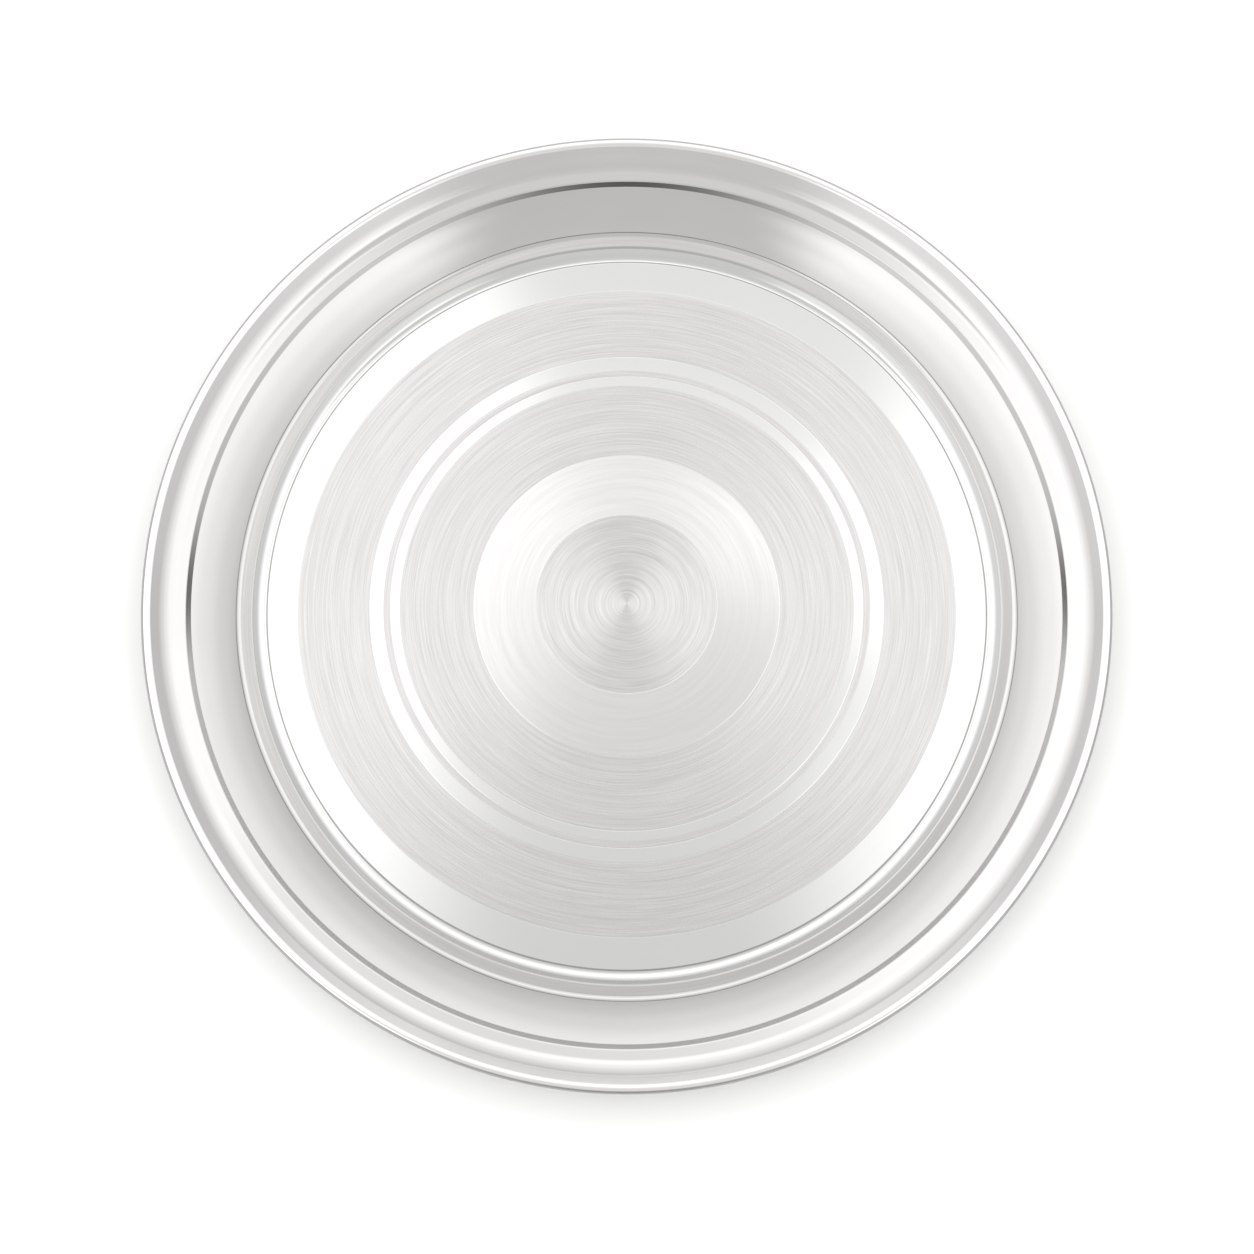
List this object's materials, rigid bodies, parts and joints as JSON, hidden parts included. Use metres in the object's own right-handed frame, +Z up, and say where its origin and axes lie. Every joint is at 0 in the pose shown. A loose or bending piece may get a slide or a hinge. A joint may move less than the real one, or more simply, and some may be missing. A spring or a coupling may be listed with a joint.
{
  "type": "thali plate",
  "caption": "Round stainless-steel thali plate with a flat brushed base, stepped ledge, domed shoulder, flared rim and rolled edge, for serving a meal.",
  "frame": {"origin": "centre of the face the plate rests on", "axes": "+Z up along the plate's axis, from the resting face to the rim"},
  "size_m": [0.305, 0.305, 0.0203],
  "materials": {
    "sheet_steel": "polished, with circular brushed bands on the base",
    "wire_steel": "drawn wire"
  },
  "bodies": {
    "root": {"plate_body": "sheet_steel", "rim_wire": "wire_steel"}
  },
  "joints": []
}
